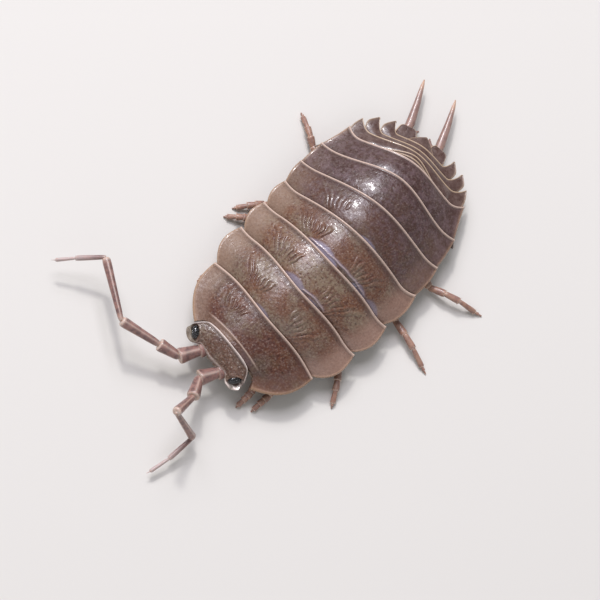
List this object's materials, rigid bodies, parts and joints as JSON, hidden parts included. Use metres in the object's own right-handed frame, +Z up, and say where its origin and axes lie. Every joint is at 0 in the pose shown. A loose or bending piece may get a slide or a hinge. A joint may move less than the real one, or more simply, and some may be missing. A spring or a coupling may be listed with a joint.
{
  "type": "woodlouse",
  "caption": "Life-size woodlouse standing with spread feelers: shingled back plates, domed eyes, jointed legs, hooked rear plates and tail feelers.",
  "frame": {"origin": "on the floor, in the middle of the box round the whole animal", "axes": "+X to the animal's left, +Y towards its tail, so the head looks along -Y, and +Z up"},
  "size_m": [0.0214, 0.0309, 0.0044],
  "materials": {
    "shell": "grey-brown shell with a purple cast, satin-wet, with pale raised edges",
    "head_shell": "finely granular brown shell with pale side lobes",
    "tail_shell": "dark purple-brown shell, satin-wet, with cream edges",
    "eye": "glossy black facets",
    "antenna": "lilac-brown, pale at the joints",
    "leg": "pinkish brown, slightly see-through",
    "tail_feeler": "lilac-brown with a pale orange tip",
    "mouthparts": "pale brown, smooth",
    "gill": "pale, thin and slightly see-through"
  },
  "bodies": {
    "root": {"pereonite_1": "shell", "pereonite_2": "shell", "pereonite_3": "shell", "pereonite_4": "shell", "pereonite_5": "shell", "pereonite_6": "shell", "pereonite_7": "shell", "head": "head_shell", "pleon": "tail_shell", "telson": "tail_shell", "eye_left": "eye", "eye_right": "eye", "antenna_left": "antenna", "antenna_right": "antenna", "leg_left_1": "leg", "leg_left_2": "leg", "leg_left_3": "leg", "leg_left_4": "leg", "leg_left_5": "leg", "leg_left_6": "leg", "leg_left_7": "leg", "leg_right_1": "leg", "leg_right_2": "leg", "leg_right_3": "leg", "leg_right_4": "leg", "leg_right_5": "leg", "leg_right_6": "leg", "leg_right_7": "leg", "uropod_left": "tail_feeler", "uropod_right": "tail_feeler", "mouthparts": "mouthparts", "pleopods_left": "gill", "pleopods_right": "gill"}
  },
  "joints": []
}
